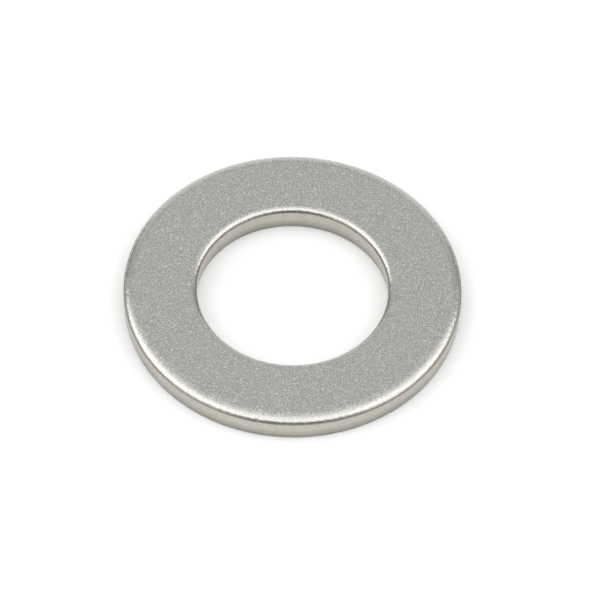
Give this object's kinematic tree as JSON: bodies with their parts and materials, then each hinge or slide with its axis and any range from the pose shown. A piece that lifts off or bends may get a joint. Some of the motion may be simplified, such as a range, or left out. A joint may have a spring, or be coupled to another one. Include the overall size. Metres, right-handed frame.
{
  "type": "flat washer",
  "caption": "Round flat steel ring with a plain central hole, rolled upper edges and a flat underside, that spreads the load of a bolt head or nut.",
  "frame": {"origin": "on the axis of the hole, in the plane of the lower bearing face", "axes": "+Z along the axis of the hole, towards the face with the rolled edges; the ring is turned about Z, so X and Y are alike"},
  "size_m": [0.037, 0.037, 0.0031],
  "materials": {
    "satin_steel": "barrel-tumbled satin with a fine even grain, brighter on the rolled edges"
  },
  "bodies": {
    "root": {"washer": "satin_steel"}
  },
  "joints": []
}
